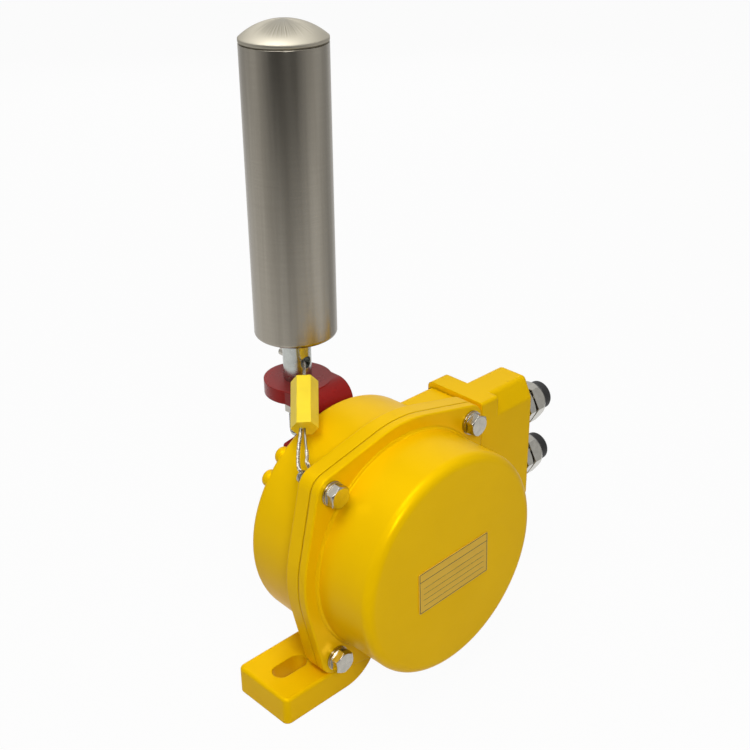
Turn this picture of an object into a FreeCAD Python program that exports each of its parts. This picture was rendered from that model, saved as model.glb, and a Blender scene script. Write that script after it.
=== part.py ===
import FreeCAD, Part
import math
import os

# Belt misalignment switch, millimetres, +Z up.
# Origin: on the ground, midway between the two foot slots.
# X runs along the foot towards the cable glands, -Y looks out of the round cover,
# and the roller lever swings about a line parallel to Y behind the housing.

V = FreeCAD.Vector
os.makedirs("parts", exist_ok=True)

# Fits and small gaps
face_gap = 0.3
run_gap = 0.05
screw_gap = 0.1
trim_edge = 0.5

# Foot with two slots
foot_length = 151.5
foot_width = 35.2
foot_thickness = 14.0
foot_corner = 3.0
foot_edge = 1.6
foot_ledge = 4.1
arch_half_span = 38.0
arch_radius = 20.0
slot_spacing = 117.0
slot_width = 9.0
slot_length = 19.0

# Flanges and the round casing
bolt_stand = 5.64
lobe_radius = 8.5
flange_over = 4.5
flange_edge = 0.8
body_flange = 8.0
cover_flange = 4.4
gasket_thick = 0.6
gasket_inset = 0.8
drum_radius = 58.0
drum_depth = 39.7
drum_wall = 5.0
drum_draft = 0.9
drum_back_wall = 3.2
drum_edge = 3.0
drum_cove = 3.0

# Round cover
cap_inset = 3.0
cap_draft = 0.2
cap_depth = 37.0
cap_wall = 4.0
cap_edge = 4.5
cap_cove = 0.8
step_ring = 1.3
step_ring_height = 0.7
step_ring_edge = 0.4
cover_lip_depth = 2.5
cover_lip_width = 2.5
cover_lip_gap = 0.4

# Cover bolts, M6
m6_radius = 3.0
m6_head_flats = 10.0
m6_head_height = 4.0
m6_length = 22.0
m6_washer_radius = 6.0
m6_washer_thick = 1.0
m6_spring_radius = 5.8
m6_spring_thick = 1.1
washer_slit = 0.8

# Name plate
plate_width = 46.2
plate_height = 22.4
plate_thick = 0.4
plate_corner = 1.0
plate_shift_x = -0.5
plate_drop = 3.3
plate_tilt = 1.7

# Pad for the cable box, and the box
pad_past_bolt = 7.5
pad_below = 26.0
pad_above = 49.0
pad_short = 1.5
pad_relief = 0.5
pad_wall = 8.5
pad_edge = 3.0
box_gasket = 1.0
box_flange = 11.5
box_strip = 14.0
box_depth = 22.0
box_reach = 39.0
box_above = 51.5
box_below = 17.5
box_flange_drop = 0.5
box_wall = 4.0
box_end_wall = 10.0
box_edge = 3.0
box_end_edge = 2.0
box_cove = 2.5
box_hollow_edge = 2.0
box_slope_depth = 5.0
box_slope_height = 10.5
wire_window_depth = 12.0
wire_window_height = 40.0

# Box screws, M4
m4_radius = 2.0
m4_head_radius = 3.5
m4_head_height = 4.0
m4_socket_flats = 3.0
m4_length = 20.0
strip_screw_edge = 7.0

# Cable glands
gland_spacing = 31.0
gland_above = 15.5
gland_thread_radius = 8.0
gland_flats = 19.0
gland_collar = 5.0
gland_neck_radius = 7.6
gland_nut_start = 1.0
gland_nut_length = 9.0
gland_nut_hex = 4.5
gland_nut_end_radius = 8.2
gland_nut_lip = 7.0
gland_rubber_radius = 7.5
gland_rubber_end = 5.5
gland_rubber_edge = 1.0
gland_rubber_wall = 1.0
gland_bore_radius = 4.0
gland_inside = 10.0

# Shaft and its bearings
shaft_radius = 6.0
shaft_front = -36.0
boss_radius = 17.0
boss_inner_y = 5.0
bush_wall = 2.0
bush_length = 8.0
bush_collar_radius = 10.0
bush_collar = 1.5
lip_seal_radius = 12.0
lip_seal_depth = 6.0
lip_seal_wall = 2.0
lip_seal_web = 1.5

# Lever
lever_gap = 0.3
boss_stand = 5.0
lever_thick = 7.0
lever_hub_radius = 18.0
lever_hub_stand = 6.0
lever_neck_half = 15.0
lever_wing_half = 24.5
lever_wing_top = 38.2
lever_wing_low = 30.0
lever_shoulder = 39.8
lever_corner = 1.2
lever_shoulder_round = 4.0
lever_over = 1.5
lever_bend = 10.0
ring_radius = 16.8
ring_stand = 16.5
stud_radius = 5.0
stud_nut_flats = 17.0
stud_nut_height = 8.0
stud_washer_radius = 10.0
stud_washer = 2.5
stud_end = 2.0
stud_flat = 4.2

# Two cast lugs on the rear left rim of the drum
lug_inset = 4.4
lug_angles = (130.2, 143.2)
lug_radius = 4.2
lug_depth = 2.5
lug_stand = 2.5
lug_edge = 1.8

# Roller and its rod
roller_radius = 20.0
roller_wall = 2.0
roller_stand = 24.0
roller_length = 137.6
roller_low_edge = 1.8
roller_groove = 0.7
groove_depth = 0.9
dome_band = 2.2
dome_rise = 7.6
dome_hollow_radius = 12.0
dome_hollow = 6.0
rod_radius = 7.0
rod_stud_radius = 5.0
rod_stud_length = 32.0
rod_stud_tip = 2.0
rod_nut_flats = 14.0
rod_nut_height = 8.0
rod_washer_radius = 7.4
rod_washer = 2.4
rod_hole_radius = 3.1
rod_hole_height = 10.0
journal_radius = 6.0
bearing_radius = 16.0
bearing_width = 10.0
bearing_inner_radius = 8.5
bearing_outer_bore = 13.0
shield_thick = 0.8
shield_inset = 0.4
shield_seat = 0.5
bearing_low_inset = 5.0
bearing_high_inset = 8.6
end_cap_inset = 0.5
end_cap_gap = 2.0
end_cap_over = 2.0
circlip_thick = 1.0
circlip_radius = 8.4
circlip_groove = 0.6
circlip_mouth = 1.5
rod_over = 2.5

# Cams, switches and the return spring
cam_radius = 16.0
cam_notch = 2.5
cam_width = 6.0
cam_hub_radius = 10.0
cam_hub_width = 4.0
alarm_cam_y = -13.0
stop_cam_y = -24.0
alarm_half_angle = 12.0
stop_half_angle = 30.0
set_screw_radius = 1.5
sensor_length = 28.0
sensor_height = 16.0
sensor_thick = 10.0
sensor_nose_radius = 4.0
sensor_nose = 6.0
sensor_air = 1.0
sensor_screw_radius = 1.5
sensor_screw_pitch = 22.0
sensor_screw_lift = 4.0
sensor_spacer_radius = 3.0
sensor_screw_head = 2.0
blade_half = 0.4
blade_width = 4.8
blade_reach = 4.0
blade_edge = 5.0
bracket_thick = 2.0
bracket_width = 44.0
bracket_low = 24.0
bracket_high = 42.0
bracket_face_y = -5.0
bracket_corner = 3.0
bracket_screw_head = 2.4
post_radius = 4.0
spring_coil_radius = 9.5
spring_wire_radius = 1.0
spring_turns = 3
spring_pitch = 2.2
spring_leg_reach = 23.0
pin_radius = 2.0
driver_radius = 13.0
driver_width = 3.0
driver_front_y = -9.5
driver_lug_reach = 24.5
driver_lug_half = 4.0
driver_pin_orbit = 14.0
anchor_pin_orbit = 20.0
stop_pin_orbit = 22.0
travel_limit = 60.0
spring_stand = 1.6
pin_gap = 1.5
stop_pin_gap = 0.5
anchor_pin_gap = 2.0

# Terminal block and earth screw
block_length = 44.0
block_depth = 18.0
block_inset = 7.0
block_height = 14.0
block_ways = 6
block_screw_radius = 2.2
block_screw_deep = 6.0
block_screw_sink = 1.0
block_wire_radius = 1.6
block_wire_deep = 10.0
earth_x = -36.0
earth_drop = 20.0
earth_flats = 8.0
earth_head = 3.2
earth_washer_radius = 5.0
earth_washer = 1.0

# Wire seal between the rod and a cover bolt
seal_flats = 11.2
seal_start_x = 15.1
seal_start_y = 16.4
seal_start_z = 12.45
seal_run_x = 15.0
seal_run_y = 16.5
seal_run_z = 12.75
seal_view = V(-0.62, -0.645, 0.44)
cable_radius = 0.9
ferrule_radius = 2.0
ferrule_length = 4.5
loop_offset = 4.5
loop_shift = 1.4
loop_behind = 5.1
strand_half = 2.2
strand_bend = 3.0

# Places worked out from the sizes
bolt_circle = drum_radius + bolt_stand
half_pitch = bolt_circle / math.sqrt(2)
flange_radius = drum_radius + flange_over
cap_base_radius = drum_radius - cap_inset
cap_rim_radius = cap_base_radius - cap_draft
step_ring_radius = cap_base_radius + step_ring
far = 4 * drum_radius
seam_y = -foot_width / 2 + foot_ledge
axis_z = foot_thickness + lobe_radius + half_pitch
pad_x = half_pitch + pad_past_bolt
pad_low_z = axis_z - pad_below
pad_top_z = axis_z + pad_above
box_top_z = axis_z + box_above
box_low_z = axis_z - box_below
gland_centre_z = axis_z + gland_above
lever_top = drum_radius + lever_over
lug_orbit = drum_radius - lug_inset
block_low = drum_radius - drum_wall - block_inset
block_high = block_low - block_height
drum_back_y = seam_y + drum_depth
flange_back_y = seam_y + body_flange
cover_back_y = seam_y - gasket_thick
cover_front_y = cover_back_y - cover_flange
cap_front_y = seam_y - cap_depth
bolt_end_y = cover_front_y - m6_washer_thick - m6_spring_thick + m6_length
lever_front_y = drum_back_y + boss_stand + lever_gap
lever_back_y = lever_front_y + lever_thick
ring_top_z = axis_z + lever_top
ring_low_z = ring_top_z - lever_thick
roller_y = lever_back_y + ring_stand
rod_hole_z = ring_top_z + rod_hole_height
rod_stud_low_z = ring_top_z - rod_stud_length
roller_low_z = ring_top_z + roller_stand
roller_rim_z = roller_low_z + roller_length
dome_edge_z = roller_rim_z + dome_band
roller_top_z = dome_edge_z + dome_rise
bearing_low_z = roller_low_z + bearing_low_inset
bearing_high_z = roller_rim_z - bearing_width - bearing_high_inset
bolt_places = [(x, axis_z + z) for x in (-half_pitch, half_pitch) for z in (-half_pitch, half_pitch)]
bush_radius = shaft_radius + run_gap + bush_wall
inner_wall_y = drum_back_y - drum_back_wall
box_seat_x = pad_x + box_gasket
box_flange_x = box_seat_x + box_flange
box_end_x = box_seat_x + box_reach
box_front_y = cover_front_y
box_back_y = box_front_y + box_depth
box_flange_back_y = box_back_y + box_strip
pad_back_y = box_flange_back_y - pad_short
box_flange_low_z = pad_low_z + box_flange_drop
gland_y = (box_front_y + box_back_y) / 2
gland_heights = {"upper": gland_centre_z + gland_spacing / 2, "lower": gland_centre_z - gland_spacing / 2}
bolt_tail = V(-half_pitch, flange_back_y + loop_behind, axis_z + half_pitch)
seal_low = bolt_tail + V(seal_start_x, seal_start_y, seal_start_z)
seal_high = seal_low + V(seal_run_x, seal_run_y, seal_run_z)


def save(name, shape):
    shape.exportStep("parts/" + name + ".step")


def cyl(radius, start, end):
    axis = end - start
    return Part.makeCylinder(radius, axis.Length, start, axis)


def cyl_y(radius, x, z, y0, y1):
    return cyl(radius, V(x, y0, z), V(x, y1, z))


def cyl_z(radius, x, y, z0, z1):
    return cyl(radius, V(x, y, z0), V(x, y, z1))


def cyl_x(radius, y, z, x0, x1):
    return cyl(radius, V(x0, y, z), V(x1, y, z))


def ring_y(outer, inner, x, z, y0, y1):
    return cyl_y(outer, x, z, y0, y1).cut(cyl_y(inner, x, z, y0, y1))


def ring_z(outer, inner, x, y, z0, z1):
    return cyl_z(outer, x, y, z0, z1).cut(cyl_z(inner, x, y, z0, z1))


def block(x0, x1, y0, y1, z0, z1):
    return Part.makeBox(x1 - x0, y1 - y0, z1 - z0, V(x0, y0, z0))


def join(shapes):
    whole = shapes[0]
    for shape in shapes[1:]:
        whole = whole.fuse(shape)
    return whole.removeSplitter()


def rounded_face(corners, place):
    """A face from (u, v, radius) corners, each rounded by its radius; place maps u, v to space."""
    ins = []
    outs = []
    mids = []
    count = len(corners)
    for i in range(count):
        u, v, radius = corners[i]
        before = corners[i - 1]
        after = corners[(i + 1) % count]
        to_before = V(before[0] - u, before[1] - v, 0)
        to_after = V(after[0] - u, after[1] - v, 0)
        to_before.normalize()
        to_after.normalize()
        half = to_before.getAngle(to_after) / 2
        here = V(u, v, 0)
        if radius <= 0:
            ins.append(here)
            outs.append(here)
            mids.append(None)
            continue
        back = radius / math.tan(half)
        middle = to_before + to_after
        middle.normalize()
        ins.append(here + to_before * back)
        outs.append(here + to_after * back)
        mids.append(here + middle * (radius / math.sin(half) - radius))
    edges = []
    for i in range(count):
        if mids[i]:
            edges.append(Part.Arc(*[place(p.x, p.y) for p in (ins[i], mids[i], outs[i])]).toShape())
        start = outs[i]
        end = ins[(i + 1) % count]
        if (end - start).Length > 1e-6:
            edges.append(Part.LineSegment(place(start.x, start.y), place(end.x, end.y)).toShape())
    return Part.Face(Part.Wire(edges))


def turned(corners, x, y, axis):
    """A turned solid from (radius, place along the axis, rounding) corners."""
    if axis == "y":
        face = rounded_face(corners, lambda r, t: V(r, t, axis_z))
        return face.revolve(V(0, 0, axis_z), V(0, 1, 0), 360)
    face = rounded_face(corners, lambda r, t: V(x + r, y, t))
    return face.revolve(V(x, y, 0), V(0, 0, 1), 360)


def hex_prism(flats, start, end, side):
    """A hexagonal bar between two points, with one flat facing along side."""
    axis = end - start
    along = V(axis.x, axis.y, axis.z)
    along.normalize()
    up = side - along * side.dot(along)
    up.normalize()
    across = along.cross(up)
    reach = flats / math.sqrt(3)
    points = []
    for i in range(6):
        angle = math.radians(30 + 60 * i)
        points.append(start + up * (reach * math.cos(angle)) + across * (reach * math.sin(angle)))
    points.append(points[0])
    return Part.Face(Part.makePolygon(points)).extrude(axis)


def crowned_hex(flats, start, end, side):
    """A hexagon whose corners are turned off at the far end."""
    axis = end - start
    height = axis.Length
    along = V(axis.x, axis.y, axis.z)
    along.normalize()
    corner = flats / math.sqrt(3)
    drop = (corner - flats * 0.475) * math.tan(math.radians(30))
    far_cone = Part.makeCone(corner, flats * 0.475, drop, end - along * drop, axis)
    shape = Part.makeCylinder(corner, height - drop, start, axis).fuse(far_cone)
    return hex_prism(flats, start, end, side).common(shape)


def flange_outline(inset, y):
    """Outline of both flanges: a big circle and four bolt lobes joined by straight tangents."""
    reach = bolt_circle
    big = flange_radius - inset
    small = lobe_radius - inset
    spread = math.acos((big - small) / reach)
    edges = []
    place = lambda cx, cz, r, a: V(cx + r * math.cos(a), y, cz + r * math.sin(a))
    for k in range(4):
        middle = math.pi / 4 + k * math.pi / 2
        cx = reach * math.cos(middle)
        cz = axis_z + reach * math.sin(middle)
        lobe = [place(cx, cz, small, middle + s * spread) for s in (-1, 0, 1)]
        edges.append(Part.Arc(*lobe).toShape())
        start = middle + spread
        end = middle + math.pi / 2 - spread
        crown = [place(0, axis_z, big, a) for a in (start, (start + end) / 2, end)]
        edges.append(Part.LineSegment(lobe[2], crown[0]).toShape())
        edges.append(Part.Arc(*crown).toShape())
        after = middle + math.pi / 2
        next_lobe = place(reach * math.cos(after), axis_z + reach * math.sin(after), small, after - spread)
        edges.append(Part.LineSegment(crown[2], next_lobe).toShape())
    return Part.Face(Part.Wire(edges))


def flange_slab(inset, y0, y1, round_y=None):
    slab = flange_outline(inset, y0).extrude(V(0, y1 - y0, 0))
    if round_y is None:
        return slab
    rim = [e for e in slab.Edges if all(abs(v.Point.y - round_y) < 1e-6 for v in e.Vertexes)]
    return slab.makeFillet(flange_edge, rim)


def pad_side(gap):
    """Everything to the right of the flat pad that carries the cable box."""
    return block(pad_x + gap, far, -far, box_flange_back_y + pad_relief, pad_low_z - gap, far)


def make_foot():
    half = foot_length / 2
    corners = [(-half, -foot_width / 2, foot_corner), (half, -foot_width / 2, foot_corner),
               (half, foot_width / 2, foot_corner), (-half, foot_width / 2, foot_corner)]
    slab = rounded_face(corners, lambda u, v: V(u, v, 0)).extrude(V(0, 0, foot_thickness))
    top = [e for e in slab.Edges if all(abs(v.Point.z - foot_thickness) < 1e-6 for v in e.Vertexes)]
    slab = slab.makeFillet(foot_edge, top)
    span = arch_half_span
    arch = rounded_face([(-span, -1, 0), (span, -1, 0), (span, 0, 0), (span - arch_radius, 0, 0),
                         (span - arch_radius, foot_thickness, 0), (-span + arch_radius, foot_thickness, 0),
                         (-span + arch_radius, 0, 0), (-span, 0, 0)],
                        lambda u, v: V(u, -foot_width, v)).extrude(V(0, 2 * foot_width, 0))
    slab = slab.cut(arch)
    for side in (-1, 1):
        end = side * span
        near = side * (span - arch_radius)
        heel = cyl(arch_radius, V(end, -foot_width, arch_radius), V(end, foot_width, arch_radius))
        corner = block(min(end, near), max(end, near), -foot_width, foot_width, -1, foot_thickness)
        slab = slab.cut(corner.cut(heel))
    for side in (-1, 1):
        slab = slab.cut(foot_slot(side))
    return slab.cut(flange_slab(-face_gap, -foot_width, seam_y))


def foot_slot(side):
    run = (slot_length - slot_width) / 2
    middle = side * slot_spacing / 2
    ends = [cyl_z(slot_width / 2, middle + s * run, 0, -1, foot_thickness + 1) for s in (-1, 1)]
    body = block(middle - run, middle + run, -slot_width / 2, slot_width / 2, -1, foot_thickness + 1)
    return join([body] + ends)


def box_screw_places():
    back = box_flange_back_y - strip_screw_edge
    middle = (box_top_z + box_flange_low_z) / 2
    low_strip = (box_flange_low_z + box_low_z) / 2
    return [(back, box_top_z - strip_screw_edge), (back, middle),
            (back, box_flange_low_z + strip_screw_edge), (box_front_y + strip_screw_edge, low_strip)]


def wire_window(x0, x1):
    return block(x0, x1, gland_y - wire_window_depth / 2, gland_y + wire_window_depth / 2,
                 gland_centre_z - wire_window_height / 2, gland_centre_z + wire_window_height / 2)


def make_body_shell():
    skirt = flange_radius - flange_edge
    back_radius = drum_radius - drum_draft
    drum = turned([(0, seam_y + 1, 0), (skirt, seam_y + 1, 0), (skirt, flange_back_y, 0),
                   (drum_radius, flange_back_y, drum_cove), (back_radius, drum_back_y, drum_edge),
                   (0, drum_back_y, 0)], 0, 0, "y")
    flange = flange_slab(0, seam_y, flange_back_y, flange_back_y)
    pad = block(0, pad_x, seam_y, pad_back_y, pad_low_z, pad_top_z)
    edge = [e for e in pad.Edges
            if all(abs(v.Point.z - pad_top_z) + abs(v.Point.y - pad_back_y) < 1e-6 for v in e.Vertexes)]
    pad = pad.makeFillet(pad_edge, edge)
    shell = join([drum, flange, pad, make_foot()])
    shell = shell.cut(pad_side(0))
    cavity = cyl_y(drum_radius - drum_wall, 0, axis_z, seam_y - 1, drum_back_y - drum_back_wall)
    cavity = cavity.common(block(-drum_radius, pad_x - pad_wall, seam_y - 1, drum_back_y, 0, far))
    shell = shell.cut(cavity)
    additions = [cyl_y(boss_radius, 0, axis_z, boss_inner_y, lever_front_y - lever_gap)]
    for angle in lug_angles:
        x = lug_orbit * math.cos(math.radians(angle))
        z = axis_z + lug_orbit * math.sin(math.radians(angle))
        lug = cyl_y(lug_radius, x, z, drum_back_y - lug_depth, drum_back_y + lug_stand)
        ends = [e for e in lug.Edges if isinstance(e.Curve, Part.Circle)]
        inside = cyl_y(drum_radius - drum_wall + 1, 0, axis_z, 0, inner_wall_y)
        additions.append(lug.makeFillet(lug_edge, ends).cut(inside))
    for x, z in post_places():
        additions.append(cyl_y(post_radius, x, z, bracket_face_y + bracket_thick, inner_wall_y + 1))
    shell = join([shell] + additions)
    shell = shell.cut(cyl_y(bush_radius, 0, axis_z, boss_inner_y - 1, lever_front_y))
    seal_seat = cyl_y(lip_seal_radius, 0, axis_z, lever_front_y - lever_gap - lip_seal_depth, lever_front_y)
    shell = shell.cut(seal_seat)
    for x, z in bolt_places:
        shell = shell.cut(cyl_y(m6_radius + screw_gap, x, z, seam_y - 1, bolt_end_y + 1))
    for y, z in box_screw_places():
        shell = shell.cut(cyl_x(m4_radius + screw_gap, y, z, box_flange_x - m4_length, pad_x + 1))
    return shell.cut(wire_window(pad_x - pad_wall - 1, pad_x + 1))


def post_places():
    half = bracket_width / 2 - post_radius
    return [(-half, axis_z + bracket_low + post_radius), (half, axis_z + bracket_low + post_radius),
            (0, axis_z + bracket_high - post_radius)]


def make_front_cover():
    flange = flange_slab(0, cover_back_y, cover_front_y, cover_front_y)
    outer = turned([(0, cover_back_y, 0), (step_ring_radius, cover_back_y, 0),
                    (step_ring_radius, cover_front_y - step_ring_height, step_ring_edge),
                    (cap_base_radius, cover_front_y - step_ring_height, cap_cove),
                    (cap_rim_radius, cap_front_y, cap_edge), (0, cap_front_y, 0)], 0, 0, "y")
    flange = flange.cut(pad_side(box_gasket - face_gap))
    floor_y = cap_front_y + cap_wall
    inner = turned([(0, cover_back_y + 1, 0), (cap_base_radius - cap_wall, cover_back_y + 1, 0),
                    (cap_rim_radius - cap_wall, floor_y, cap_edge), (0, floor_y, 0)], 0, 0, "y")
    inner = inner.common(block(-cap_base_radius, pad_x - pad_wall, cap_front_y, drum_back_y, 0, far))
    behind = outer.common(block(pad_x - 1, far, cover_front_y, drum_back_y, 0, far))
    cover = join([flange, outer.cut(behind)]).cut(inner)
    lip_outer = drum_radius - drum_wall - cover_lip_gap
    lip = ring_y(lip_outer, lip_outer - cover_lip_width, 0, axis_z,
                 cover_back_y - 1, cover_back_y + cover_lip_depth)
    lip = lip.common(block(-drum_radius, pad_x - pad_wall - cover_lip_gap, cover_back_y - 1, drum_back_y,
                           0, far))
    cover = join([cover, lip])
    for x, z in bolt_places:
        cover = cover.cut(cyl_y(m6_radius + screw_gap, x, z, cap_front_y, seam_y + 1))
    return cover


def make_cover_gasket():
    sheet = flange_slab(gasket_inset, cover_back_y, seam_y)
    sheet = sheet.cut(pad_side(box_gasket - face_gap - gasket_inset))
    bore = cyl_y(drum_radius - drum_wall, 0, axis_z, cover_back_y - 1, seam_y + 1)
    bore = bore.common(block(-drum_radius, pad_x - pad_wall, cover_back_y - 1, seam_y + 1, 0, far))
    sheet = sheet.cut(bore)
    for x, z in bolt_places:
        sheet = sheet.cut(cyl_y(m6_radius + screw_gap, x, z, cover_back_y - 1, seam_y + 1))
    return sheet


def split_ring(outer, inner, x, z, y0, y1):
    ring = ring_y(outer, inner, x, z, y0, y1)
    slit = block(x, x + outer + 1, y0 - 1, y1 + 1, z - washer_slit / 2, z + washer_slit / 2)
    return ring.cut(slit)


def make_cover_fasteners():
    washer_y = cover_front_y - m6_washer_thick
    spring_y = washer_y - m6_spring_thick
    head_y = spring_y - m6_head_height
    bolts = []
    springs = []
    washers = []
    for x, z in bolt_places:
        head = crowned_hex(m6_head_flats, V(x, spring_y, z), V(x, head_y, z), V(1, 0, 2))
        shank = cyl_y(m6_radius, x, z, spring_y, spring_y + m6_length)
        bolts.append(head.fuse(shank).removeSplitter())
        springs.append(split_ring(m6_spring_radius, m6_radius + screw_gap, x, z, spring_y, washer_y))
        washers.append(ring_y(m6_washer_radius, m6_radius + screw_gap, x, z, washer_y, cover_front_y))
    save("cover_bolts", Part.makeCompound(bolts))
    save("cover_spring_washers", Part.makeCompound(springs))
    save("cover_flat_washers", Part.makeCompound(washers))


def make_name_plate():
    half_w = plate_width / 2
    half_h = plate_height / 2
    corners = [(u * half_w, v * half_h, plate_corner) for u, v in ((-1, -1), (1, -1), (1, 1), (-1, 1))]
    sheet = rounded_face(corners, lambda u, v: V(u, cap_front_y, v)).extrude(V(0, -plate_thick, 0))
    sheet.rotate(V(0, 0, 0), V(0, 1, 0), -plate_tilt)
    sheet.translate(V(plate_shift_x, 0, axis_z - plate_drop))
    return sheet


def make_terminal_box():
    back = box_flange_back_y
    flange = rounded_face([(box_front_y, box_flange_low_z, box_edge), (back, box_flange_low_z, box_edge),
                           (back, box_top_z, box_edge), (box_front_y, box_top_z, box_edge / 2)],
                          lambda u, v: V(box_seat_x, u, v)).extrude(V(box_flange, 0, 0))
    slope_y = box_front_y + box_slope_depth
    body = rounded_face([(box_front_y, box_low_z, box_edge), (box_back_y, box_low_z, box_edge),
                         (box_back_y, box_top_z, box_edge), (slope_y, box_top_z, box_edge),
                         (box_front_y, box_top_z - box_slope_height, box_edge)],
                        lambda u, v: V(box_flange_x - 1, u, v))
    body = body.extrude(V(box_end_x - box_flange_x + 1, 0, 0))
    end = [e for e in body.Edges if all(abs(v.Point.x - box_end_x) < 1e-6 for v in e.Vertexes)]
    body = body.makeFillet(box_end_edge, end)
    x, y = box_flange_x, box_back_y
    root = rounded_face([(x - 1, y - 1, 0), (x + box_cove, y - 1, 0), (x + box_cove, y, 0),
                         (x, y, box_cove * 0.99), (x, y + box_cove, 0), (x - 1, y + box_cove, 0)],
                        lambda u, v: V(u, v, box_low_z + box_edge))
    root = root.extrude(V(0, 0, box_top_z - box_low_z - 2 * box_edge))
    box = join([flange, body, root])
    round_in = box_hollow_edge
    inside = rounded_face([(box_front_y + box_wall, box_low_z + box_wall, round_in),
                           (box_back_y - box_wall, box_low_z + box_wall, round_in),
                           (box_back_y - box_wall, box_top_z - box_wall, round_in),
                           (slope_y + box_wall / 2, box_top_z - box_wall, round_in / 2),
                           (box_front_y + box_wall, box_top_z - box_slope_height, round_in / 2)],
                          lambda u, v: V(box_seat_x - 1, u, v))
    inside = inside.extrude(V(box_reach - box_end_wall + 1, 0, 0))
    box = box.cut(inside)
    for z in gland_heights.values():
        box = box.cut(cyl_x(gland_thread_radius + screw_gap, gland_y, z,
                            box_end_x - box_end_wall - 1, box_end_x + 1))
    for y, z in box_screw_places():
        box = box.cut(cyl_x(m4_radius + screw_gap, y, z, box_seat_x - 1, box_flange_x + 1))
    return box


def make_box_gasket():
    back = box_flange_back_y - 2 * gasket_inset
    low = box_flange_low_z + gasket_inset
    top = pad_top_z - gasket_inset
    corners = [(u, v, trim_edge) for u, v in ((seam_y, low), (back, low), (back, top), (seam_y, top))]
    sheet = rounded_face(corners, lambda u, v: V(pad_x, u, v)).extrude(V(box_gasket, 0, 0))
    sheet = sheet.cut(wire_window(pad_x - 1, box_seat_x + 1))
    for y, z in box_screw_places():
        sheet = sheet.cut(cyl_x(m4_radius + screw_gap, y, z, pad_x - 1, box_seat_x + 1))
    return sheet


def make_box_screws():
    screws = []
    for y, z in box_screw_places():
        head = cyl_x(m4_head_radius, y, z, box_flange_x, box_flange_x + m4_head_height)
        socket = hex_prism(m4_socket_flats, V(box_flange_x + m4_head_height / 2, y, z),
                           V(box_flange_x + m4_head_height + 1, y, z), V(0, 0, 1))
        shank = cyl_x(m4_radius, y, z, box_flange_x - m4_length, box_flange_x)
        screws.append(join([head.cut(socket), shank]))
    return Part.makeCompound(screws)


def make_gland(name, z):
    hub = V(0, 0, 1)
    collar_end = box_end_x + gland_collar
    nut_start = collar_end + gland_nut_start
    nut_end = nut_start + gland_nut_length
    neck_end = nut_start + gland_nut_length / 2
    rubber_end = nut_end + gland_rubber_end
    inside_x = box_end_x - gland_inside
    collar = crowned_hex(gland_flats, V(box_end_x, gland_y, z), V(collar_end, gland_y, z), hub)
    thread = cyl_x(gland_thread_radius, gland_y, z, inside_x, box_end_x)
    neck = cyl_x(gland_neck_radius, gland_y, z, collar_end, neck_end)
    bore = cyl_x(gland_bore_radius + gland_rubber_wall, gland_y, z, inside_x - 1, rubber_end)
    save(name + "_gland_body", join([collar, thread, neck]).cut(bore))
    nut = hex_prism(gland_flats, V(nut_start, gland_y, z), V(nut_end, gland_y, z), hub)
    hex_end = nut_start + gland_nut_hex
    corner = gland_flats / math.sqrt(3)
    crown = Part.makeCone(corner, gland_nut_end_radius, nut_end - hex_end,
                          V(hex_end, gland_y, z), V(1, 0, 0))
    nut = nut.common(cyl_x(corner, gland_y, z, nut_start, hex_end).fuse(crown))
    nut = nut.cut(cyl_x(gland_neck_radius + run_gap, gland_y, z, nut_start - 1, neck_end + 1))
    nut = nut.cut(cyl_x(gland_nut_lip, gland_y, z, nut_start, nut_end + 1))
    save(name + "_gland_nut", nut)
    plug = cyl_x(gland_nut_lip - run_gap, gland_y, z, neck_end, nut_end)
    collar_ring = cyl_x(gland_rubber_radius, gland_y, z, nut_end, rubber_end)
    rim = [e for e in collar_ring.Edges if abs(e.CenterOfMass.x - rubber_end) < 1e-6]
    collar_ring = collar_ring.makeFillet(gland_rubber_edge, rim)
    rubber = join([plug, collar_ring])
    rubber = rubber.cut(cyl_x(gland_bore_radius, gland_y, z, nut_start, rubber_end + 1))
    save(name + "_gland_rubber", rubber)


def make_shaft_parts():
    seat_y = lever_front_y - lever_gap - lip_seal_depth
    bore = shaft_radius + run_gap
    front_bush = ring_y(bush_radius, bore, 0, axis_z, boss_inner_y, boss_inner_y + bush_length)
    collar = ring_y(bush_collar_radius, bore, 0, axis_z, boss_inner_y - bush_collar, boss_inner_y)
    save("front_shaft_bush", join([front_bush, collar]))
    save("rear_shaft_bush", ring_y(bush_radius, bore, 0, axis_z, seat_y - bush_length, seat_y))
    outer = ring_y(lip_seal_radius, lip_seal_radius - lip_seal_wall, 0, axis_z,
                   seat_y, seat_y + lip_seal_depth)
    web = ring_y(lip_seal_radius - lip_seal_wall / 2, bush_radius, 0, axis_z, seat_y, seat_y + lip_seal_web)
    lip = ring_y(bush_radius + trim_edge, bore, 0, axis_z, seat_y, seat_y + lip_seal_depth - lip_seal_web)
    save("shaft_lip_seal", join([outer, web, lip]))
    hub_back = lever_back_y + lever_hub_stand
    stud_tip = hub_back + stud_washer + stud_nut_height + stud_end
    journal = cyl_y(shaft_radius, 0, axis_z, shaft_front, lever_front_y)
    seat = cyl_y(shaft_radius, 0, axis_z, lever_front_y, hub_back)
    seat = seat.common(block(-stud_flat, stud_flat, lever_front_y, hub_back,
                             axis_z - half_pitch, axis_z + half_pitch))
    thread = cyl_y(stud_radius, 0, axis_z, hub_back, stud_tip)
    save("main_shaft", join([journal, seat, thread]))
    washer_back = hub_back + stud_washer
    washer = ring_y(stud_washer_radius, stud_radius + screw_gap, 0, axis_z, hub_back, washer_back)
    save("lever_washer", washer)
    nut = crowned_hex(stud_nut_flats, V(0, washer_back, axis_z),
                      V(0, washer_back + stud_nut_height, axis_z), V(1, 0, 0))
    save("lever_nut", nut.cut(cyl_y(stud_radius + screw_gap, 0, axis_z, hub_back, stud_tip + 1)))


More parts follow.
